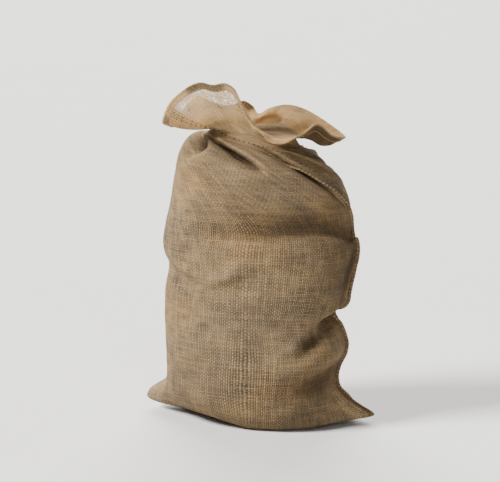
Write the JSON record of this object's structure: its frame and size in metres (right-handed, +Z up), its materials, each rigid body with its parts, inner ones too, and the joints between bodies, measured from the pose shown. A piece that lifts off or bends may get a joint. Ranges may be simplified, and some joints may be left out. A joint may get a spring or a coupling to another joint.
{
  "type": "jute sack",
  "caption": "Filled jute sack standing on its base, twisted shut at the neck, its hemmed mouth spread above as a wavy collar.",
  "frame": {"origin": "under the middle of the box that holds the sack, at floor level", "axes": "+Z up, +X towards the side seam, -Y towards the front face"},
  "size_m": [0.505, 0.2312, 0.7441],
  "materials": {
    "jute_hessian": "coarse plain-weave natural jute hessian, matt and fibrous"
  },
  "bodies": {
    "root": {"sack": "jute_hessian"}
  },
  "joints": []
}
